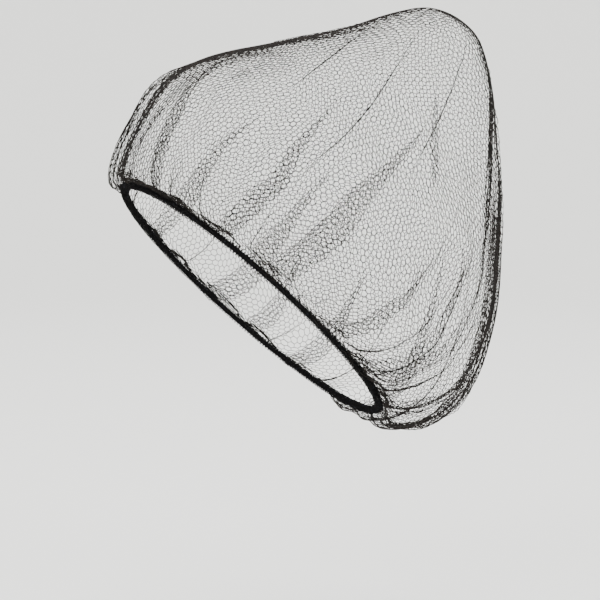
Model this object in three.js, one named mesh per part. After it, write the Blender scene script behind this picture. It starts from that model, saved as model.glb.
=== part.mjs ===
// Bouffant hairnet in the form that it takes over pinned-up hair: one bag of fine netting, gathered
// at its open edge into one covered elastic band. Millimetres, +Z up. The wearer faces -Y and their
// left is +X. The origin is the centre of the elastic band's loop, where the net sits on the head.

import * as THREE from 'three';
import { ParametricGeometry } from 'three/addons/geometries/ParametricGeometry.js';
import { mergeVertices } from 'three/addons/utils/BufferGeometryUtils.js';

// The elastic band lies in one tilted plane: high on the forehead, over the ears, low at the nape.
const BAND_TILT = 43; // degrees from level, front up
const BAND_REACH = 105; // half of the loop, front to back in its plane
const BAND_HALF_WIDTH = 78; // half of the loop, side to side
const BAND_HEIGHT = 4.6; // its section, across the plane
const BAND_THICKNESS = 2.6; // its section, towards the head
const BAND_STEPS = 72;
const BAND_SECTION_STEPS = 8;

// The net's wall stands for knitted net with its bulk: the bare yarn is a quarter of a millimetre.
const NET_WALL = 1;
const HEM_GAP = 0.3; // the hem's clearance above the band
const HEM_OUT = 0.8; // and how far outside the band's middle it starts
const HEM_RISE = BAND_HEIGHT / 2 + HEM_GAP;
const NET_STEPS_AROUND = 100;
const NET_STEPS_UP = 20;

// Sections of the bag from the hem to the crown. rise is the height above the band's plane at the
// front, the sides and the back; front, back and half are how far the section reaches from the
// band's middle, forwards, backwards and to each side.
const SECTIONS = [
  { at: 'hem', riseFront: HEM_RISE, riseSide: HEM_RISE, riseBack: HEM_RISE,
    front: BAND_REACH + HEM_OUT, back: -BAND_REACH - HEM_OUT, half: BAND_HALF_WIDTH + HEM_OUT },
  { at: 'overhang', riseFront: -3, riseSide: 4, riseBack: -4, front: 111, back: -116, half: 84 },
  { at: 'brow', riseFront: 9, riseSide: 17, riseBack: 10, front: 120, back: -134, half: 88 },
  { at: 'temple', riseFront: 32, riseSide: 38, riseBack: 34, front: 127, back: -144, half: 93 },
  { at: 'widest', riseFront: 61, riseSide: 62, riseBack: 63, front: 130, back: -139, half: 94 },
  { at: 'top_of_head', riseFront: 89, riseSide: 88, riseBack: 93, front: 119, back: -124, half: 91 },
  { at: 'slope', riseFront: 115, riseSide: 116, riseBack: 121, front: 100, back: -102, half: 82 },
  { at: 'under_bun', riseFront: 140, riseSide: 143, riseBack: 147, front: 81, back: -80, half: 71 },
  { at: 'bun', riseFront: 165, riseSide: 168, riseBack: 170, front: 63, back: -55, half: 61 },
  { at: 'bun_shoulder', riseFront: 190, riseSide: 191, riseBack: 191, front: 48, back: -30, half: 50 },
  { at: 'cap', riseFront: 209, riseSide: 208, riseBack: 205, front: 33, back: -7, half: 32 },
  { at: 'crown', riseFront: 216, riseSide: 216, riseBack: 216, front: 13, back: 13, half: 0 },
];
const CROWN = SECTIONS.length - 1;

// The main folds. hem and top are the directions, in degrees from the front towards the wearer's
// left, of the fold's lower and upper end; from and to are the sections that it runs between.
// Each is a ridge of doubled net, width across, with a dent along one side of it.
const FOLDS = [
  { name: 'brow_tuck', hem: 27, top: 15, from: 0.4, to: 5.6, width: 11, depth: 3.0 },
  { name: 'temple_crease', hem: 42, top: 33, from: 0.4, to: 3.2, width: 7, depth: 1.6 },
  { name: 'temple_tuck', hem: 46, top: 56, from: 0.4, to: 6.0, width: 9, depth: 2.6 },
  { name: 'side_tuck', hem: 68, top: 80, from: 0.4, to: 6.6, width: 12, depth: 3.4 },
  { name: 'ear_tuck', hem: 92, top: 105, from: 0.4, to: 5.2, width: 11, depth: 3.0 },
  { name: 'behind_ear_tuck', hem: 107, top: 118, from: 0.4, to: 5.6, width: 11, depth: 3.0 },
  { name: 'nape_fold_left', hem: 122, top: 126, from: 0.4, to: 5.0, width: 12, depth: 3.2 },
  { name: 'nape_fold_low', hem: 140, top: 140, from: 0.4, to: 4.2, width: 12, depth: 3.4 },
  { name: 'nape_fold_middle', hem: 168, top: 160, from: 0.4, to: 4.6, width: 13, depth: 3.0 },
  { name: 'back_fold', hem: 128, top: 107, from: 4.2, to: 9.4, width: 12, depth: 2.4 },
  { name: 'bun_crease', hem: 62, top: 42, from: 4.0, to: 8.2, width: 9, depth: 1.8 },
  { name: 'bun_side_crease', hem: 84, top: 78, from: 5.8, to: 8.6, width: 9, depth: 1.6 },
  { name: 'far_nape_fold', hem: 205, top: 212, from: 0.4, to: 4.8, width: 13, depth: 3.2 },
  { name: 'far_behind_ear_tuck', hem: 240, top: 232, from: 0.4, to: 5.4, width: 12, depth: 3.0 },
  { name: 'far_side_tuck', hem: 272, top: 262, from: 0.4, to: 6.2, width: 12, depth: 3.0 },
  { name: 'far_temple_tuck', hem: 305, top: 292, from: 0.4, to: 5.8, width: 11, depth: 2.8 },
  { name: 'far_brow_tuck', hem: 336, top: 345, from: 0.4, to: 5.4, width: 11, depth: 3.0 },
];
const FOLD_FADE = 1.1; // sections over which a fold's ends die away
const DENT_SHARE = 0.6; // the dent's depth as a share of the ridge's height
const DENT_PLACE = 1.4; // its place, in half widths from the ridge

const SMALL = 1e-3; // step for slopes, in sections and in radians
const rad = THREE.MathUtils.degToRad;

// The band plane's own axes: across to the wearer's left, fore to the brow, and its normal.
const ACROSS = new THREE.Vector3(1, 0, 0);
const FORE = new THREE.Vector3(0, -Math.cos(rad(BAND_TILT)), Math.sin(rad(BAND_TILT)));
const NORMAL = new THREE.Vector3().crossVectors(FORE, ACROSS);

function fromBandPlane(across, fore, rise) {
  return new THREE.Vector3()
    .addScaledVector(ACROSS, across)
    .addScaledVector(FORE, fore)
    .addScaledVector(NORMAL, rise);
}

// A column of the section table, run smoothly through its rows. level counts sections from the hem.
function columnAt(column, level) {
  const row = Math.min(Math.floor(level), CROWN - 1);
  const value = (i) => SECTIONS[THREE.MathUtils.clamp(i, 0, CROWN)][column];
  const [a, b, c, d] = [row - 1, row, row + 1, row + 2].map(value);
  const t = level - row;
  return (
    b + 0.5 * t * (c - a + t * (2 * a - 5 * b + 4 * c - d + t * (3 * (b - c) + d - a)))
  );
}

// A point of the bag without folds. turn is the angle from the front towards the wearer's left.
function bagPoint(level, turn) {
  const column = (name) => columnAt(name, level);
  const toFront = Math.max(Math.cos(turn), 0) ** 2;
  const toBack = Math.max(-Math.cos(turn), 0) ** 2;
  const side = column('riseSide');
  const rise =
    side + (column('riseFront') - side) * toFront + (column('riseBack') - side) * toBack;
  const middle = (column('front') + column('back')) / 2;
  const reach = (column('front') - column('back')) / 2;
  return fromBandPlane(column('half') * Math.sin(turn), middle + reach * Math.cos(turn), rise);
}

// How far the folds lift the net off the plain bag at a point.
function foldLift(level, turn) {
  const around = bagPoint(level, turn + SMALL).distanceTo(bagPoint(level, turn)) / SMALL;
  return FOLDS.reduce((lift, fold) => {
    const share = (level - fold.from) / (fold.to - fold.from);
    const direction = rad(THREE.MathUtils.lerp(fold.hem, fold.top, share));
    const gap = Math.atan2(Math.sin(turn - direction), Math.cos(turn - direction)) * around;
    const across = gap / (fold.width / 2);
    const fade =
      THREE.MathUtils.smoothstep(level, fold.from, fold.from + FOLD_FADE) *
      (1 - THREE.MathUtils.smoothstep(level, fold.to - FOLD_FADE, fold.to));
    const ridge = Math.exp(-(across ** 2));
    const dent = DENT_SHARE * Math.exp(-((across - DENT_PLACE) ** 2));
    return lift + fold.depth * fade * (ridge - dent);
  }, 0);
}

// The way out of the bag at a point, square to its wall.
function outwards(level, turn) {
  const up = Math.min(level, CROWN - 2 * SMALL);
  const here = bagPoint(up, turn);
  const alongTurn = bagPoint(up, turn + SMALL).sub(here);
  const alongRise = bagPoint(up + SMALL, turn).sub(here);
  return alongTurn.cross(alongRise).normalize();
}

// The net's wall: out from the crown down to the hem, and back up inside it.
function netGeometry() {
  const wall = (across, around, target) => {
    const outside = across <= 0.5;
    const steps = NET_STEPS_UP * 2 + 1;
    const step = Math.round(across * steps);
    const up = outside ? NET_STEPS_UP - step : step - NET_STEPS_UP - 1;
    const level = (up / NET_STEPS_UP) * CROWN;
    const turn = around * 2 * Math.PI;
    if (level === CROWN) {
      target.copy(fromBandPlane(0, SECTIONS[CROWN].front, SECTIONS[CROWN].riseFront));
      return target.addScaledVector(NORMAL, outside ? 0 : -NET_WALL);
    }
    const offset = foldLift(level, turn) - (outside ? 0 : NET_WALL);
    return target.copy(bagPoint(level, turn)).addScaledVector(outwards(level, turn), offset);
  };
  return closed(new ParametricGeometry(wall, NET_STEPS_UP * 2 + 1, NET_STEPS_AROUND));
}

// The band: an oval section carried round the tilted oval loop.
function bandGeometry() {
  const loop = (around, section, target) => {
    const turn = around * 2 * Math.PI;
    const side = section * 2 * Math.PI;
    const middle = fromBandPlane(BAND_HALF_WIDTH * Math.sin(turn), BAND_REACH * Math.cos(turn), 0);
    const out = fromBandPlane(
      BAND_REACH * Math.sin(turn), BAND_HALF_WIDTH * Math.cos(turn), 0).normalize();
    return target
      .copy(middle)
      .addScaledVector(out, (BAND_THICKNESS / 2) * Math.cos(side))
      .addScaledVector(NORMAL, (BAND_HEIGHT / 2) * Math.sin(side));
  };
  return closed(new ParametricGeometry(loop, BAND_STEPS, BAND_SECTION_STEPS));
}

// Joins a parametric surface along its seams, and drops the flat triangles at its poles.
function closed(geometry) {
  geometry.deleteAttribute('normal');
  geometry.deleteAttribute('uv');
  const joined = mergeVertices(geometry, SMALL);
  const corners = Array.from(joined.index.array);
  const kept = [];
  for (let i = 0; i < corners.length; i += 3) {
    const [a, b, c] = corners.slice(i, i + 3);
    if (a !== b && b !== c && c !== a) kept.push(a, b, c);
  }
  joined.setIndex(kept);
  joined.computeVertexNormals();
  return joined;
}

function piece(name, geometry, colour, roughness) {
  const material = new THREE.MeshStandardMaterial({ color: colour, roughness, metalness: 0 });
  const mesh = new THREE.Mesh(geometry, material);
  mesh.name = name;
  return mesh;
}

const hairnet = new THREE.Group();
hairnet.add(piece('net', netGeometry(), 0x17130f, 0.75));
hairnet.add(piece('elastic_band', bandGeometry(), 0x0d0c0c, 0.85));

export default hairnet;
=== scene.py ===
"""Bouffant hairnet: black honeycomb netting gathered into a covered elastic band, as worn over a bun.

The file is laid out as an add-on and run as a script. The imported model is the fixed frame: the net's
form is read off its wall, ring by ring, and the elastic band's line off its loop.
"""

import math

import bmesh
import bpy
import numpy as np
from bpy.props import FloatProperty, FloatVectorProperty, IntProperty, PointerProperty
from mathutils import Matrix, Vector


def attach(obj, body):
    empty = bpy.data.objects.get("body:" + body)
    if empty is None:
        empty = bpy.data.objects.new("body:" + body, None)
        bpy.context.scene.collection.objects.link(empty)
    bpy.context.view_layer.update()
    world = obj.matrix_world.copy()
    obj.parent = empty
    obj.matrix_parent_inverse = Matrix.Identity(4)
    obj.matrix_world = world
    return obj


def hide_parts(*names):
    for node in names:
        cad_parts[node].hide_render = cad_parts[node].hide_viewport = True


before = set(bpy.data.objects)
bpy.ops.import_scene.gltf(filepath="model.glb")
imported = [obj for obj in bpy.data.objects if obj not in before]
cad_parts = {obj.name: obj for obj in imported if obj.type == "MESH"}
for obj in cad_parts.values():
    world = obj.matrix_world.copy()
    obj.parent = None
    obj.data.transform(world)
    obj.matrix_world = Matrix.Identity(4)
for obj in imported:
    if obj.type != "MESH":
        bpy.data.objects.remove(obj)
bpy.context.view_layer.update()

bl_info = {
    "name": "Bouffant Hairnet",
    "version": (1, 0, 0),
    "blender": (4, 5, 0),
    "location": "3D View > Sidebar > Hairnet",
    "description": "Makes a worn honeycomb hairnet around its construction model",
    "category": "Add Mesh",
}

MM = 0.001
CAD_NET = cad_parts["net"]
CAD_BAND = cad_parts["elastic_band"]

# The folds of the net. A pleat lies flat in three layers, and a crease is a narrow ridge pinched up in
# the cloth. hem, middle and top are a fold's directions at its lower end, half-way and at its upper
# end, in degrees from the brow towards the wearer's left. low and high are where it runs, as shares
# of the way from the hem to the crown. width is a pleat's width beside the others, or the cloth that
# a crease takes up, and height is how far it stands off, both in mm.
PLEATS = [
    # name, hem, middle, top, low, high, width, height
    ("middle_brow_pleat", -3, 2, 5, 0.00, 0.44, 6.0, 1.5),
    ("brow_pleat", 29, 21, 17, 0.00, 0.52, 9.0, 1.8),
    ("temple_pleat", 44, 57, 51, 0.00, 0.56, 8.0, 1.8),
    ("side_pleat", 67, 76, 80, 0.00, 0.66, 11.0, 2.0),
    ("ear_pleat", 91, 101, 104, 0.00, 0.50, 8.0, 2.0),
    ("behind_ear_pleat", 106, 118, 110, 0.00, 0.52, 7.0, 2.0),
    ("nape_pleat_left", 120, 121, 124, 0.00, 0.46, 7.0, 2.0),
    ("nape_pleat_low", 134, 137, 140, 0.00, 0.40, 8.0, 2.2),
    ("nape_pleat_middle", 160, 156, 152, 0.00, 0.80, 8.0, 2.4),
    ("nape_pleat_right", 180, 176, 172, 0.00, 0.72, 8.0, 2.2),
    ("far_nape_pleat", 202, 206, 204, 0.00, 0.62, 9.0, 2.2),
    ("far_behind_ear_pleat", 224, 234, 230, 0.00, 0.52, 9.0, 2.0),
    ("far_ear_pleat", 246, 252, 254, 0.00, 0.46, 8.0, 2.0),
    ("far_side_pleat", 268, 263, 260, 0.00, 0.62, 10.0, 2.0),
    ("far_temple_pleat", 300, 293, 296, 0.00, 0.56, 9.0, 1.8),
    ("far_brow_pleat", 331, 340, 338, 0.00, 0.58, 9.0, 1.8),
    # over the bun and down its back
    ("back_pleat", 127, 115, 107, 0.52, 0.88, 6.0, 1.6),
    ("back_middle_pleat", 142, 138, 130, 0.46, 0.84, 5.0, 1.6),
    ("far_back_pleat", 216, 222, 228, 0.64, 0.88, 5.0, 1.4),
    ("top_pleat", 8, 14, 20, 0.56, 0.80, 4.0, 1.2),
    ("far_top_pleat", 350, 344, 338, 0.60, 0.84, 4.0, 1.2),
]
CREASES = [
    ("middle_brow_crease", 12, 9, 12, 0.00, 0.36, 12.0, 0.7),
    ("brow_crease", 34, 31, 28, 0.00, 0.26, 13.0, 0.8),
    ("temple_crease", 39, 43, 35, 0.00, 0.30, 14.0, 0.9),
    ("side_crease", 57, 61, 62, 0.00, 0.28, 13.0, 0.8),
    ("ear_crease", 82, 85, 88, 0.00, 0.20, 13.0, 0.8),
    ("behind_ear_crease", 99, 110, 113, 0.00, 0.46, 14.0, 0.9),
    ("nape_crease_left", 113, 119, 118, 0.00, 0.52, 16.0, 0.9),
    ("nape_crease_low", 128, 130, 133, 0.00, 0.44, 16.0, 0.9),
    ("nape_crease", 147, 147, 144, 0.00, 0.50, 16.0, 0.9),
    ("nape_crease_middle", 170, 166, 163, 0.00, 0.62, 16.0, 0.9),
    ("far_nape_crease", 191, 190, 188, 0.00, 0.58, 16.0, 0.9),
    ("far_behind_ear_crease", 214, 221, 220, 0.00, 0.44, 14.0, 0.9),
    ("far_ear_crease", 236, 242, 243, 0.00, 0.30, 13.0, 0.8),
    ("far_side_crease", 284, 280, 279, 0.00, 0.30, 13.0, 0.8),
    ("far_brow_crease", 316, 313, 312, 0.00, 0.28, 13.0, 0.7),
    ("bun_crease", 62, 60, 41, 0.34, 0.80, 16.0, 0.9),
    ("bun_side_crease", 85, 82, 78, 0.50, 0.82, 14.0, 0.7),
    ("back_crease", 119, 112, 106, 0.55, 0.90, 13.0, 0.7),
    ("far_bun_crease", 300, 308, 322, 0.60, 0.82, 13.0, 0.7),
]


def linear(code):
    """An sRGB hex colour as linear shares of red, green and blue."""
    shares = [(code >> shift & 255) / 255 for shift in (16, 8, 0)]
    return tuple(c / 12.92 if c <= 0.04045 else ((c + 0.055) / 1.055) ** 2.4 for c in shares)


# ---------------------------------------------------------------- settings


class HairnetNetSettings(bpy.types.PropertyGroup):
    """The net's cloth and how it lies"""

    cell: FloatProperty(
        name="Mesh Size", description="Width of a hole, middle of yarn to middle of yarn",
        default=4.1 * MM, unit="LENGTH")
    yarn: FloatProperty(
        name="Yarn Thickness", description="Thickness of the knitted yarn",
        default=0.44 * MM, unit="LENGTH")
    pleated: FloatProperty(
        name="Most Pleated", description="Share of the net that the pleats may take up at a height",
        default=0.42, subtype="FACTOR")
    flat_radius: FloatProperty(
        name="Flat Radius", description="Radius of the round cut before the elastic gathers it",
        default=270 * MM, unit="LENGTH")
    sink: FloatProperty(
        name="Sink", description="How far the flat cloth lies inside the folds' outer line",
        default=2.2 * MM, unit="LENGTH")
    gather_run: FloatProperty(
        name="Gather Run", description="How far the fine puckers reach up from the band",
        default=15 * MM, unit="LENGTH")
    gathers: IntProperty(
        name="Gathers", description="Fine puckers round the band", default=104)
    colour: FloatVectorProperty(
        name="Yarn Colour", description="Brown-black dyed nylon", subtype="COLOR", size=3,
        default=linear(0x0F0C0A))
    faded: FloatVectorProperty(
        name="Faded Colour", description="Where the dye has taken less", subtype="COLOR", size=3,
        default=linear(0x1B1613))
    seed: IntProperty(name="Seed", description="Chooses the small puckers", default=7)


class HairnetBandSettings(bpy.types.PropertyGroup):
    """The elastic band's cover"""

    loop_pitch: FloatProperty(
        name="Loop Pitch", description="Spacing of the overlock loops along the band",
        default=1.9 * MM, unit="LENGTH")
    loop_reach: FloatProperty(
        name="Loop Reach", description="How far the loops stand out past the band's edges",
        default=0.6 * MM, unit="LENGTH")
    yarn: FloatProperty(
        name="Cover Yarn", description="Thickness of the overlock yarn",
        default=0.42 * MM, unit="LENGTH")
    colour: FloatVectorProperty(
        name="Band Colour", description="Black covered elastic", subtype="COLOR", size=3,
        default=linear(0x0B0A0B))
    lint: FloatVectorProperty(
        name="Lint Colour", description="Dull grey-blue specks of lint and worn yarn",
        subtype="COLOR", size=3, default=linear(0x23262D))
    seed: IntProperty(name="Seed", description="Chooses the stray loops", default=11)


class HairnetStageSettings(bpy.types.PropertyGroup):
    """The camera, the floor and the studio's colours"""

    azimuth: FloatProperty(
        name="Camera Azimuth", description="Round the wearer from straight ahead",
        default=math.radians(65), subtype="ANGLE")
    elevation: FloatProperty(
        name="Camera Elevation", description="Above level", default=math.radians(6), subtype="ANGLE")
    distance: FloatProperty(
        name="Camera Distance", description="From the band's middle", default=1.4, unit="LENGTH")
    width: FloatProperty(
        name="View Width", description="Width seen at the net", default=0.36, unit="LENGTH")
    aside: FloatProperty(
        name="View Aside", description="The view's middle, to the right of the band's middle",
        default=28.6 * MM, unit="LENGTH")
    drop: FloatProperty(
        name="Floor Drop", description="The floor, below the band's middle as a wearer's collar is",
        default=0.2, unit="LENGTH")
    sweep: FloatProperty(
        name="Sweep Radius", description="From the middle of the floor to its upright wall",
        default=3.2, unit="LENGTH")
    floor_colour: FloatVectorProperty(
        name="Floor Colour", description="Pale paper", subtype="COLOR", size=3,
        default=linear(0xF2F2F0))
    sky_colour: FloatVectorProperty(
        name="Studio Colour", description="The soft light all round", subtype="COLOR", size=3,
        default=linear(0xF7F7F6))


# ---------------------------------------------------------------- materials


def add_node(tree, kind, settings=(), links=()):
    """Adds a shader node. settings are (property or socket, value); links are (socket, source)."""
    node = tree.nodes.new(kind)
    for name, value in dict(settings).items():
        if isinstance(name, str) and hasattr(node, name):
            setattr(node, name, value)
        else:
            node.inputs[name].default_value = value
    for name, source in dict(links).items():
        tree.links.new(source, node.inputs[name])
    return node


def new_material(name):
    """An empty node material and its tree."""
    material = bpy.data.materials.new(name)
    material.use_nodes = True
    material.node_tree.nodes.clear()
    return material, material.node_tree


def nylon_yarn(settings):
    """Textured nylon 6 yarn: brown-black, and nearly matt, as light is lost between its filaments."""
    material, tree = new_material("knitted_nylon_yarn")
    place = add_node(tree, "ShaderNodeTexCoord").outputs["Object"]
    # Dye takes unevenly along the yarn: patches about 12 mm long.
    patches = add_node(
        tree, "ShaderNodeTexNoise", {"Scale": 1 / (12 * MM), "Detail": 3.0}, {"Vector": place})
    colour = add_node(tree, "ShaderNodeValToRGB", links={"Fac": patches.outputs["Fac"]})
    dyed, faded = colour.color_ramp.elements
    dyed.position, dyed.color = 0.3, (*settings.colour, 1)
    faded.position, faded.color = 0.75, (*settings.faded, 1)
    # Filaments: 0.08 mm grain, coarser than the real 0.02 mm so that it shows at all.
    grain = add_node(
        tree, "ShaderNodeTexNoise", {"Scale": 1 / (0.08 * MM), "Detail": 2.0}, {"Vector": place})
    bump = add_node(
        tree, "ShaderNodeBump", {"Strength": 0.5, "Distance": 0.03 * MM},
        {"Height": grain.outputs["Fac"]})
    surface = add_node(
        tree, "ShaderNodeBsdfPrincipled",
        {"Roughness": 0.62, "IOR": 1.53, "Specular IOR Level": 0.12},
        {"Base Color": colour.outputs["Color"], "Normal": bump.outputs["Normal"]})
    add_node(tree, "ShaderNodeOutputMaterial", links={"Surface": surface.outputs["BSDF"]})
    return material


def covered_elastic(settings, name, lint_from):
    """Spun polyester wound on rubber: a deep matt black and fuzzy, with specks of lint."""
    material, tree = new_material(name)
    place = add_node(tree, "ShaderNodeTexCoord").outputs["Object"]
    # Specks of lint about 1.5 mm across, where the noise is above lint_from.
    specks = add_node(
        tree, "ShaderNodeTexNoise", {"Scale": 1 / (1.5 * MM), "Detail": 3.0}, {"Vector": place})
    colour = add_node(tree, "ShaderNodeValToRGB", links={"Fac": specks.outputs["Fac"]})
    black, lint = colour.color_ramp.elements
    black.position, black.color = lint_from, (*settings.colour, 1)
    lint.position, lint.color = lint_from + 0.12, (*settings.lint, 1)
    fuzz = add_node(
        tree, "ShaderNodeTexNoise", {"Scale": 1 / (0.15 * MM), "Detail": 3.0}, {"Vector": place})
    bump = add_node(
        tree, "ShaderNodeBump", {"Strength": 0.7, "Distance": 0.06 * MM},
        {"Height": fuzz.outputs["Fac"]})
    surface = add_node(
        tree, "ShaderNodeBsdfPrincipled",
        {"Roughness": 0.85, "IOR": 1.5, "Specular IOR Level": 0.08},
        {"Base Color": colour.outputs["Color"], "Normal": bump.outputs["Normal"]})
    add_node(tree, "ShaderNodeOutputMaterial", links={"Surface": surface.outputs["BSDF"]})
    return material


def pale_paper(settings):
    """Seamless background paper: matt, nearly white."""
    material, tree = new_material("background_paper")
    place = add_node(tree, "ShaderNodeTexCoord").outputs["Object"]
    tooth = add_node(tree, "ShaderNodeTexNoise", {"Scale": 1 / (2 * MM)}, {"Vector": place})
    bump = add_node(
        tree, "ShaderNodeBump", {"Strength": 0.05, "Distance": 0.1 * MM},
        {"Height": tooth.outputs["Fac"]})
    surface = add_node(
        tree, "ShaderNodeBsdfPrincipled",
        {"Base Color": (*settings.floor_colour, 1), "Roughness": 0.9},
        {"Normal": bump.outputs["Normal"]})
    add_node(tree, "ShaderNodeOutputMaterial", links={"Surface": surface.outputs["BSDF"]})
    return material


# ---------------------------------------------------------------- objects


def new_object(name, data):
    """An object in the scene for a mesh, curve, camera or light."""
    obj = bpy.data.objects.new(name, data)
    bpy.context.scene.collection.objects.link(obj)
    return obj


def mesh_object(name, mesh):
    """An object in the scene from a bmesh, which is freed."""
    data = bpy.data.meshes.new(name)
    mesh.to_mesh(data)
    mesh.free()
    return new_object(name, data)


def evaluated_mesh(obj):
    """An object's mesh with its modifiers or bevel applied. The object is removed."""
    bpy.context.view_layer.update()
    depsgraph = bpy.context.evaluated_depsgraph_get()
    mesh = bpy.data.meshes.new_from_object(obj.evaluated_get(depsgraph))
    bpy.data.objects.remove(obj)
    return mesh


# ---------------------------------------------------------------- the frame's shapes


def merged_copy(obj):
    """A bmesh of a CAD node with its loose triangles joined."""
    mesh = bmesh.new()
    mesh.from_mesh(obj.data)
    bmesh.ops.remove_doubles(mesh, verts=mesh.verts, dist=0.002 * MM)
    mesh.verts.ensure_lookup_table()
    return mesh


class BandPlane:
    """The elastic band's tilted oval: its middle, its axes and its half sizes."""

    def __init__(self):
        mesh = merged_copy(CAD_BAND)
        points = np.array([v.co for v in mesh.verts])
        mesh.free()
        self.middle = points.mean(0)
        _, _, axes = np.linalg.svd(points - self.middle, full_matrices=False)
        fore, across, normal = axes
        self.fore = fore * (1 if fore[2] > 0 else -1)
        self.across = across * (1 if across[0] > 0 else -1)
        self.normal = normal * (1 if normal[2] > 0 else -1)
        sideways, forwards, rise = self.local(points).T
        away = np.hypot(sideways, forwards)
        self.height = np.ptp(rise)
        # The visible section's depth towards the head. It comes out at about twice the CAD loop's
        # thickness, as points to each side of the oval's front, nearer the middle, are counted too.
        self.depth = forwards.max() - away[forwards > 0.9 * away.max()].min()
        self.reach = forwards.max() - self.depth / 2
        self.half_width = sideways.max() - self.depth / 2

    def local(self, points):
        """Points as (across, fore, rise) from the band's middle."""
        return (points - self.middle) @ np.stack([self.across, self.fore, self.normal]).T

    def loop(self, turn):
        """Points of the band's centreline, and the way out of the loop there, at angles turn."""
        across, fore = np.sin(turn)[..., None], np.cos(turn)[..., None]
        points = (
            self.middle + self.half_width * across * self.across + self.reach * fore * self.fore)
        out = self.reach * across * self.across + self.half_width * fore * self.fore
        return points, out / np.linalg.norm(out, axis=-1, keepdims=True)


def net_rings(band):
    """The net's outer wall as rings of points from the crown down to the hem, from the brow round."""
    mesh = merged_copy(CAD_NET)
    rise = band.local(np.array([v.co for v in mesh.verts]))[:, 2]
    crown = mesh.verts[int(rise.argmax())]
    seen, ring, rings = {crown}, [crown], []
    while ring:
        rings.append(ring)
        ring = {e.other_vert(v) for v in ring for e in v.link_edges} - seen
        seen |= ring
    around = len(rings[1])
    walls = [r for r in rings if len(r) == around]
    outer = walls[: len(walls) // 2]
    rows = [np.repeat([list(crown.co)], around, 0)]
    for r in outer:
        points = np.array([v.co for v in r])
        local = band.local(points)
        local[:, :2] -= (local[:, :2].max(0) + local[:, :2].min(0)) / 2
        size = np.ptp(local[:, :2], axis=0)
        turn = np.arctan2(local[:, 0] / size[0], local[:, 1] / size[1])
        order = np.argsort(turn % (2 * np.pi))
        points, turn = points[order], (turn % (2 * np.pi))[order]
        first = int(np.argmin(np.abs((turn + np.pi) % (2 * np.pi) - np.pi)))
        rows.append(np.roll(points, -first, 0))
    mesh.free()
    return np.array(rows)


def smooth_rows(values, places):
    """Catmull-Rom through rows of values, at places counted in rows."""
    last = len(values) - 1
    row = np.clip(np.floor(places).astype(int), 0, last - 1)
    t = (places - row).reshape((-1,) + (1,) * (values.ndim - 1))
    a, b, c, d = (values[np.clip(row + k, 0, last)] for k in (-1, 0, 1, 2))
    return b + 0.5 * t * (c - a + t * (2 * a - 5 * b + 4 * c - d + t * (3 * (b - c) + d - a)))


def smooth_around(values, count):
    """Catmull-Rom round closed rings, to count points a ring. values is rings by points by 3."""
    lap = values.shape[1]
    wrapped = np.concatenate([values[:, -2:], values, values[:, :3]], 1).swapaxes(0, 1)
    return smooth_rows(wrapped, np.arange(count) * lap / count + 2).swapaxes(0, 1)


class BagForm:
    """The net's form, finely sampled: rows at equal lengths along the net from crown to hem."""

    UP = 200
    AROUND = 720

    def __init__(self, band):
        coarse = net_rings(band)
        hem = band.loop(np.arange(coarse.shape[1]) * 2 * np.pi / coarse.shape[1])[0]
        coarse = np.concatenate([coarse, hem[None]])
        rings = len(coarse) - 1
        fine = smooth_rows(smooth_around(coarse, self.AROUND), np.linspace(0, rings, self.UP * 3))
        steps = np.linalg.norm(np.diff(fine, axis=0), axis=2)
        length = np.concatenate([np.zeros((1, self.AROUND)), steps.cumsum(0)])
        share = length / length[-1]
        even = np.linspace(0, 1, self.UP)
        self.points = np.empty((self.UP, self.AROUND, 3))
        ring = np.empty((self.UP, self.AROUND))
        along = np.linspace(0, 1, len(fine))
        for k in range(self.AROUND):
            ring[:, k] = np.interp(even, share[:, k], along)
            for axis in range(3):
                self.points[:, k, axis] = np.interp(even, share[:, k], fine[:, k, axis])
        self.soften()
        self.ring_share = ring.mean(1)
        lap = np.linalg.norm(np.roll(self.points, -1, 1) - self.points, axis=2)
        self.perimeter = lap.sum(1)
        down = np.gradient(self.points, axis=0)
        on = (np.roll(self.points, -1, 1) - np.roll(self.points, 1, 1)) / 2
        normal = np.cross(down, on)
        size = np.linalg.norm(normal, axis=2, keepdims=True)
        normal = normal / np.maximum(size, 1e-12)
        normal[0] = normal[3].mean(0) / np.linalg.norm(normal[3].mean(0))
        outward = np.sign(((self.points[60] - band.middle) * normal[60]).sum(-1).mean())
        self.normals = normal * outward

    def soften(self):
        """Evens out the CAD wall's facets, except at the crown and the hem."""
        for _ in range(6):
            p = self.points
            side = (np.roll(p, 1, 1) + np.roll(p, -1, 1)) / 2
            p[1:-1] = 0.5 * p[1:-1] + 0.25 * side[1:-1] + 0.125 * (p[2:] + p[:-2])

    def at(self, down, turn):
        """Points and normals at shares down from the crown and at angles turn."""
        row = np.clip(down, 0, 1) * (self.UP - 1)
        column = (turn / (2 * np.pi)) % 1 * self.AROUND
        i, j = np.minimum(row.astype(int), self.UP - 2), column.astype(int) % self.AROUND
        f, g = (row - i)[:, None], (column - np.floor(column))[:, None]
        k = (j + 1) % self.AROUND
        found = []
        for grid in (self.points, self.normals):
            low = grid[i, j] * (1 - g) + grid[i, k] * g
            high = grid[i + 1, j] * (1 - g) + grid[i + 1, k] * g
            found.append(low * (1 - f) + high * f)
        return found


# ---------------------------------------------------------------- the net


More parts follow.
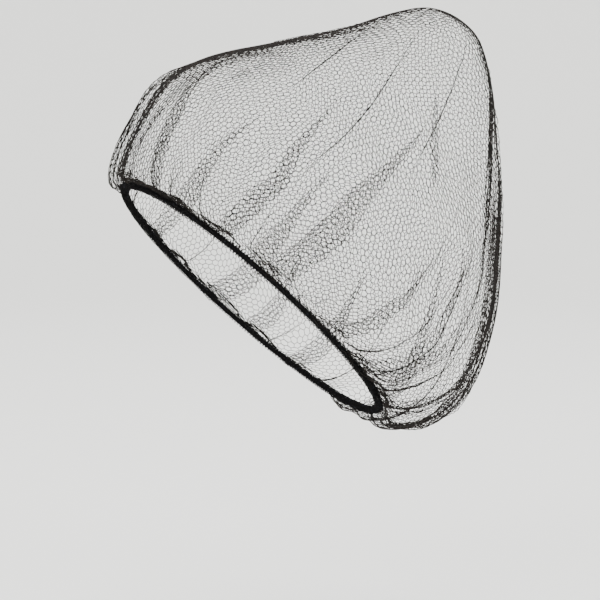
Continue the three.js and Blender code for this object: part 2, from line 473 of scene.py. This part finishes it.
PINCH = 0.03  # how far a crease's cloth still spreads along the bag, against lying flat
SWELLING = 1.1  # cloth that the swells use, against the bag's own perimeter
PLEAT_SCALE = (0.6, 1.9)  # how far pleats are narrowed or widened to take up the spare cloth
LEAST_PLEAT = 0.25 * MM
LEAST_CREASE = 0.5 * MM
GATHER_REACH = (0.05, 0.11)  # the least reach up of a short gather, and what is added to it
GATHER_CLOTH = 9.0 * MM
GATHER_HEIGHT = 0.7 * MM
SAMPLES = 6000  # round the net, in the gather map
SWELLS_FADE = 0.14  # metres of flat cloth from the hem over which the swells die out
SWELL_BUNCH, SWELL_HEIGHT = 0.07, 0.6 * MM
PUCKER_BUNCH, PUCKER_HEIGHT = 0.3, 0.7 * MM
FOLD_EDGE = 0.5 * MM  # how softly a fold turns over
THIRD = 0.265  # of the flat radius: lines this far from the middle cut the round in equal thirds


def ease(x):
    """A smooth step: 0 up to 0, and 1 from 1 on."""
    x = np.clip(x, 0, 1)
    return x * x * (3 - 2 * x)


def pleat_shape(pleat, up):
    """How open a pleat is at a height, from 0 to 1: full low down and closing at its top."""
    low, high = pleat[4:6]
    run = (up - low) / (high - low)
    if not 0 <= run <= 1:
        return 0.0
    opening = ease(run / 0.3) if low > 0 else 1.0
    return float(opening * (1 - ease((run - 0.45) / 0.55)))


def pleat_turn(pleat, up):
    """A pleat's direction at a height, in turns, on one curve through its three directions."""
    _, hem, middle, top, low, high, _, _ = pleat
    run = min(max((up - low) / (high - low), 0), 1)
    degrees = (
        hem * (1 - run) * (1 - 2 * run) + middle * 4 * run * (1 - run) + top * run * (2 * run - 1))
    return (degrees / 360) % 1


def folds_at(up, lap, perimeter, most):
    """The folds open at a height, in order round the net: (turn, cloth width, height, way).

    Widths are shares of the net's lap, and way is 0 for a crease.
    """
    pinched = [c[6] * MM * pleat_shape(c, up) ** 0.5 for c in CREASES]
    loose = min(max(1 - SWELLING * perimeter / lap, 0), most)
    spare = loose * lap / 2 - sum(pinched) / 4
    widths = [p[6] * MM * pleat_shape(p, up) for p in PLEATS]
    scale = float(np.clip(spare / max(sum(widths), MM), *PLEAT_SCALE))
    found = []
    for k, (pleat, width) in enumerate(zip(PLEATS, widths)):
        if width > LEAST_PLEAT:
            way = (1, 1, -1)[k % 3]
            found.append((pleat_turn(pleat, up), width * scale / lap, pleat[7] * MM, way))
    for crease, width in zip(CREASES, pinched):
        if width > LEAST_CREASE:
            height = crease[7] * MM * width / (crease[6] * MM)
            found.append((pleat_turn(crease, up), width / lap, height, 0))
    found.sort()
    # Short gathers between the folds, where the elastic draws the hem in. Their reaches vary.
    between = []
    for k, (one, after) in enumerate(zip(found, found[1:] + found[:1])):
        for part in (1 / 3, 2 / 3):
            least, more = GATHER_REACH
            reach = least + more * (math.sin(37.0 * k + 91.0 * part) ** 2)
            if up < reach:
                turn = (one[0] + ((after[0] - one[0]) % 1) * part) % 1
                width = GATHER_CLOTH * (1 - up / reach) ** 0.5
                between.append((turn, width / lap, GATHER_HEIGHT, 0))
    return sorted(found + between)


def gather_map(form, settings):
    """Where the net's own directions lie on the bag: turn and lift, by row and by share round."""
    rng = np.random.default_rng(settings.seed)
    share = (np.arange(SAMPLES) + 0.5) / SAMPLES
    waves = [
        (count, rng.uniform(0, 2 * np.pi), rng.uniform(-1.5, 1.5), rng.uniform(0.5, 1))
        for count in (9, 14, 19, 23, 31, 37, 43)]
    puckers = [
        (count, rng.uniform(0, 2 * np.pi), rng.uniform(0.5, 1))
        for count in (settings.gathers, settings.gathers - 27, settings.gathers + 33)]
    turns, lifts = np.empty((form.UP, SAMPLES)), np.empty((form.UP, SAMPLES))
    for i in range(form.UP):
        down = i / (form.UP - 1)
        up = 1 - float(form.ring_share[i])
        radius = max(down * settings.flat_radius, 5 * MM)
        lap = 2 * math.pi * radius
        from_hem = (1 - down) * settings.flat_radius
        slope, lift = np.ones(SAMPLES), np.zeros(SAMPLES)
        # Uneven bunching and slow swells, stronger towards the band.
        low = 1 - float(ease(from_hem / SWELLS_FADE))
        for count, phase, drift, weight in waves:
            wave = 2 * np.pi * count * share + phase + drift * 2 * np.pi * down
            slope += SWELL_BUNCH * low * weight * np.sin(wave)
            lift += SWELL_HEIGHT * low * weight * np.sin(wave + 1.3)
        # Fine puckers where the elastic draws the hem in.
        near = math.exp(-from_hem / settings.gather_run)
        for count, phase, weight in puckers:
            wave = 2 * np.pi * count * share + phase
            lift += PUCKER_HEIGHT * near * weight * np.sin(wave)
            slope += PUCKER_BUNCH * near * weight * np.cos(wave)
        active = folds_at(up, lap, form.perimeter[i], settings.pleated)
        taken = [width * (2 if way else 1 - PINCH) for _, width, _, way in active]
        passed = 0.0
        for (turn, width, height, way), cloth in zip(active, taken):
            middle = turn * (1 - sum(taken)) + passed + cloth / 2
            passed += cloth
            soft = FOLD_EDGE / lap
            gap = (share - middle + 0.5) % 1 - 0.5
            window = 0.5 * (
                np.tanh((gap + width / 2) / soft) - np.tanh((gap - width / 2) / soft))
            if way:
                gap *= way
                slope = slope * (1 - window) - window
                rise = ease((gap + width) / (1.6 * width))
                fall = 1 - ease((gap - 0.9 * width) / (1.3 * width))
                size = min(1.0, width * lap / (1.5 * MM))
                lift += height * size * np.where(gap < 0.75 * width, rise, fall)
            else:
                slope = slope * (1 - window) + PINCH * window
                lift += height * np.clip(1 - 2 * np.abs(gap) / width, 0, 1)
        # Away from the crown and the hem the flat cloth lies further in, and the folds stand out.
        sunk = ease(up / 0.12) * (1 - 0.8 * ease((up - 0.3) / 0.35))
        lift -= settings.sink * float(sunk)
        turn = np.cumsum(slope)
        turns[i] = 2 * np.pi * (turn - slope / 2) / turn[-1]
        lifts[i] = lift
    return turns, lifts


def read_map(table, down, share, lap=0.0):
    """Reads a row by share table smoothly; lap is what the table gains in one round."""
    rows, samples = table.shape
    row = np.clip(down, 0, 1) * (rows - 1)
    i = np.minimum(row.astype(int), rows - 2)
    f = row - i
    column = share % 1 * samples - 0.5
    j = np.floor(column).astype(int)
    g = column - j
    extra = [np.where(k < 0, -lap, np.where(k >= samples, lap, 0.0)) for k in (j, j + 1)]
    low, high = (
        (table[r, j % samples] + extra[0]) * (1 - g)
        + (table[r, (j + 1) % samples] + extra[1]) * g
        for r in (i, i + 1))
    return low * (1 - f) + high * f


def honeycomb(cell, radius):
    """A flat sheet of joined hexagons, larger than the round: two cells, then an array each way."""
    mesh = bmesh.new()
    side = cell / math.sqrt(3)
    for step in (0, 1):
        made = bmesh.ops.create_circle(mesh, cap_ends=True, segments=6, radius=side)
        bmesh.ops.translate(
            mesh, verts=made["verts"], vec=(step * cell / 2, step * 1.5 * side, 0))
    bmesh.ops.remove_doubles(mesh, verts=mesh.verts, dist=0.01 * cell)
    obj = mesh_object("honeycomb", mesh)
    for name, offset in (("along", (cell, 0, 0)), ("over", (0, 3 * side, 0))):
        array = obj.modifiers.new(name, "ARRAY")
        array.use_relative_offset = False
        array.use_constant_offset = True
        array.constant_offset_displace = offset
        array.count = int(2 * radius / max(offset)) + 4
        array.use_merge_vertices = True
        array.merge_threshold = 0.05 * side
    return evaluated_mesh(obj)


def centred_points(mesh):
    """A mesh's vertices about their middle, as an array."""
    flat = np.empty(len(mesh.vertices) * 3)
    mesh.vertices.foreach_get("co", flat)
    flat = flat.reshape(-1, 3)
    return flat - (flat.max(0) + flat.min(0)) / 2


def knit(data, flat, placed, keep, settings, name):
    """One breadth of the net: its cells laid on the bag, and yarn along every edge."""
    mesh = bmesh.new()
    mesh.from_mesh(data)
    mesh.verts.ensure_lookup_table()
    gone = [f for f in mesh.faces if not all(keep[v.index] for v in f.verts)]
    for vertex, point in zip(mesh.verts, placed):
        vertex.co = point
    bmesh.ops.delete(mesh, geom=gone, context="FACES")
    mesh.normal_update()
    bmesh.ops.wireframe(
        mesh, faces=mesh.faces, thickness=settings.yarn, use_replace=True,
        use_boundary=True, use_even_offset=False)
    return mesh_object(name, mesh)


def make_net(settings):
    """The whole net, in three breadths from the brow over the crown to the nape."""
    band = BandPlane()
    form = BagForm(band)
    turns, lifts = gather_map(form, settings)
    data = honeycomb(settings.cell, settings.flat_radius)
    flat = centred_points(data)
    radius = np.hypot(flat[:, 0], flat[:, 1])
    share = (np.arctan2(flat[:, 0], -flat[:, 1]) / (2 * np.pi)) % 1
    down = radius / settings.flat_radius
    turn = read_map(turns, down, share, 2 * np.pi)
    lift = read_map(lifts, down, share)
    points, normals = form.at(down, turn)
    placed = points + normals * lift[:, None]
    inside = radius <= settings.flat_radius * 1.001
    third = THIRD * settings.flat_radius
    material = nylon_yarn(settings)
    across = flat[:, 0]
    breadths = []
    for name, low, high in (
            ("net_left", third, math.inf),
            ("net_middle", -third, third),
            ("net_right", -math.inf, -third)):
        margin = settings.cell / 2
        keep = inside & (across > low - margin) & (across < high + margin)
        obj = knit(data, flat, placed, keep, settings, name)
        obj.data.materials.append(material)
        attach(obj, "root")
        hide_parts("net")
        breadths.append(obj)
    bpy.data.meshes.remove(data)
    return breadths


# ---------------------------------------------------------------- the elastic band


RIB_PITCH = 1.1 * MM  # of the turns of yarn wound on the core
CORE_DEPTH, CORE_HEIGHT = 0.85, 0.74  # shares of the band's section that the core fills


def sweep_core(band, ribs, material):
    """The band's core as a closed ribbed tube of oval section, three sections to a rib."""
    mesh = bmesh.new()
    steps = ribs * 3
    turn = np.arange(steps) / steps * 2 * np.pi
    middle, out = band.loop(turn)
    swell = 1 - 0.10 * (0.5 + 0.5 * np.cos(turn * ribs))
    rings = []
    for k in range(steps):
        made = bmesh.ops.create_circle(mesh, cap_ends=False, segments=10, radius=1.0)
        for vertex in made["verts"]:
            x, y = vertex.co.x, vertex.co.y
            vertex.co = Vector(
                middle[k] + out[k] * (x * band.depth / 2 * swell[k] * CORE_DEPTH)
                + band.normal * (y * band.height / 2 * swell[k] * CORE_HEIGHT))
        rings.append([e for e in mesh.edges if e.is_wire and e.verts[0] in set(made["verts"])])
    for k in range(steps):
        bmesh.ops.bridge_loops(mesh, edges=rings[k] + rings[(k + 1) % steps])
    bmesh.ops.recalc_face_normals(mesh, faces=mesh.faces)
    obj = mesh_object("band_core", mesh)
    obj.data.shade_smooth()
    obj.data.materials.append(material)
    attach(obj, "root")
    return obj


def overlock_line(band, settings, turns, way, phase, rng):
    """A yarn's line: wound round the band, with uneven loops standing past its edges."""
    along = np.arange(turns * 10) / (turns * 10)
    jitter = np.interp(
        along * turns, np.arange(turns + 1), rng.normal(0, 1, turns + 1), period=turns)
    middle, out = band.loop(2 * np.pi * along)
    wind = way * 2 * np.pi * turns * along + phase + 0.5 * jitter
    edge = np.abs(np.sin(wind)) ** 6
    reach = 1 + 0.35 * jitter
    tall = band.height * 0.39 + settings.loop_reach * edge * reach
    thick = band.depth / 2 * (1 - 0.25 * edge) + settings.yarn / 2
    return (
        middle + out * (thick * np.cos(wind))[:, None]
        + band.normal * (tall * np.sin(wind))[:, None])


def sweep_yarn(name, points, radius, material):
    """A closed yarn along points, as a mesh."""
    curve = bpy.data.curves.new(name, "CURVE")
    curve.dimensions = "3D"
    curve.bevel_depth = radius
    curve.bevel_resolution = 1
    spline = curve.splines.new("POLY")
    spline.points.add(len(points) - 1)
    spline.points.foreach_set("co", np.c_[points, np.ones(len(points))].ravel())
    spline.use_cyclic_u = True
    made = evaluated_mesh(new_object(name + "_line", curve))
    made.name = name
    made.materials.clear()
    made.materials.append(material)
    obj = new_object(name, made)
    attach(obj, "root")
    return obj


# ---------------------------------------------------------------- operators


class HAIRNET_OT_net(bpy.types.Operator):
    """Knits the net and lays it over the bag's form in its pleats and gathers"""

    bl_idname = "hairnet.net"
    bl_label = "Make Net"

    def execute(self, context):
        make_net(context.scene.hairnet_net)
        return {"FINISHED"}


class HAIRNET_OT_band(bpy.types.Operator):
    """Makes the elastic band: its wound core and the overlock yarn looped round it"""

    bl_idname = "hairnet.band"
    bl_label = "Make Elastic Band"

    def execute(self, context):
        settings = context.scene.hairnet_band
        band = BandPlane()
        rng = np.random.default_rng(settings.seed)
        core_material = covered_elastic(settings, "wound_elastic_core", 0.66)
        yarn_material = covered_elastic(settings, "spun_overlock_yarn", 0.6)
        length = math.pi * (band.reach + band.half_width)
        # The core: an oval tube, ribbed by the turns of yarn wound on it.
        core = sweep_core(band, int(length / RIB_PITCH), core_material)
        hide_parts("elastic_band")
        # Two overlock yarns, wound opposite ways, with loops past the band's edges.
        turns = int(length / settings.loop_pitch)
        for name, way, phase in (("overlock_yarn_left", 1, 0.0), ("overlock_yarn_right", -1, 1.6)):
            line = overlock_line(band, settings, turns, way, phase, rng)
            sweep_yarn(name, line, settings.yarn / 2, yarn_material)
        return {"FINISHED"}


class HAIRNET_OT_stage(bpy.types.Operator):
    """Sets the camera, the pale paper sweep and the soft studio lights"""

    bl_idname = "hairnet.stage"
    bl_label = "Set Stage"

    def execute(self, context):
        settings = context.scene.hairnet_stage
        scene = context.scene
        a, e = settings.azimuth, settings.elevation
        back = Vector((math.sin(a) * math.cos(e), -math.cos(a) * math.cos(e), math.sin(e)))
        right = Vector((math.cos(a), math.sin(a), 0))
        target = Vector(BandPlane().middle) + right * settings.aside
        data = bpy.data.cameras.new("camera")
        data.lens = data.sensor_width * settings.distance / settings.width
        data.clip_start, data.clip_end = 0.05, 20
        camera = new_object("camera", data)
        camera.location = target + back * settings.distance
        camera.rotation_mode = "QUATERNION"
        camera.rotation_quaternion = (-back).to_track_quat("-Z", "Y")
        scene.camera = camera
        self.floor(settings)
        self.lights(scene, settings, target)
        return {"FINISHED"}

    def floor(self, settings):
        """A round paper floor whose rim sweeps up into a wall, the same from every side."""
        mesh = bmesh.new()
        bend, steps = settings.sweep * 0.4, 10
        line = [(0, 0), (settings.sweep - bend, 0)]
        for k in range(1, steps + 1):
            a = math.pi / 2 * k / steps
            line.append((settings.sweep - bend + bend * math.sin(a), bend - bend * math.cos(a)))
        line.append((settings.sweep, settings.sweep * 0.9))
        verts = [mesh.verts.new((x, 0, z - settings.drop)) for x, z in line]
        edges = [mesh.edges.new(pair) for pair in zip(verts, verts[1:])]
        bmesh.ops.spin(
            mesh, geom=verts + edges, cent=(0, 0, 0), axis=(0, 0, 1), angle=2 * math.pi, steps=64,
            use_merge=True)
        bmesh.ops.remove_doubles(mesh, verts=mesh.verts, dist=MM)
        bmesh.ops.recalc_face_normals(mesh, faces=mesh.faces)
        mesh.faces.ensure_lookup_table()
        if min(mesh.faces, key=lambda f: f.calc_center_median().z).normal.z < 0:
            bmesh.ops.reverse_faces(mesh, faces=mesh.faces)
        floor = mesh_object("floor", mesh)
        floor.data.shade_smooth()
        floor.data.materials.append(pale_paper(settings))

    def lights(self, scene, settings, target):
        """Three large soft lights round the net, and even light from the whole studio."""
        for name, place, size, power in (
                ("key_light", (0.9, -1.5, 1.6), 1.4, 42),
                ("fill_light", (1.6, 1.1, 1.2), 1.6, 28),
                ("top_light", (-0.6, 0.4, 2.2), 1.8, 42)):
            data = bpy.data.lights.new(name, "AREA")
            data.size, data.energy = size, power
            light = new_object(name, data)
            light.location = target + Vector(place)
            light.rotation_mode = "QUATERNION"
            light.rotation_quaternion = Vector(place).to_track_quat("Z", "Y")
        world = bpy.data.worlds.new("studio")
        scene.world = world
        world.use_nodes = True
        background = world.node_tree.nodes["Background"]
        background.inputs["Color"].default_value = (*settings.sky_colour, 1)
        background.inputs["Strength"].default_value = 1.5


class HAIRNET_PT_panel(bpy.types.Panel):
    """Lists the hairnet's settings and the buttons that set the stage and make the pieces"""

    bl_idname = "HAIRNET_PT_panel"
    bl_label = "Hairnet"
    bl_space_type = "VIEW_3D"
    bl_region_type = "UI"
    bl_category = "Hairnet"

    def draw(self, context):
        for group, operator in (
                ("hairnet_stage", "hairnet.stage"),
                ("hairnet_net", "hairnet.net"),
                ("hairnet_band", "hairnet.band")):
            settings = getattr(context.scene, group)
            box = self.layout.box()
            for name in settings.__annotations__:
                box.prop(settings, name)
            box.operator(operator)


CLASSES = (
    HairnetNetSettings, HairnetBandSettings, HairnetStageSettings,
    HAIRNET_OT_stage, HAIRNET_OT_net, HAIRNET_OT_band, HAIRNET_PT_panel,
)
SETTINGS = {
    "hairnet_net": HairnetNetSettings,
    "hairnet_band": HairnetBandSettings,
    "hairnet_stage": HairnetStageSettings,
}


def register():
    for cls in CLASSES:
        bpy.utils.register_class(cls)
    for name, cls in SETTINGS.items():
        setattr(bpy.types.Scene, name, PointerProperty(type=cls))


def unregister():
    for name in SETTINGS:
        delattr(bpy.types.Scene, name)
    for cls in reversed(CLASSES):
        bpy.utils.unregister_class(cls)


def main():
    register()
    bpy.ops.hairnet.stage()
    bpy.ops.hairnet.net()
    bpy.ops.hairnet.band()


if __name__ == "__main__":
    main()
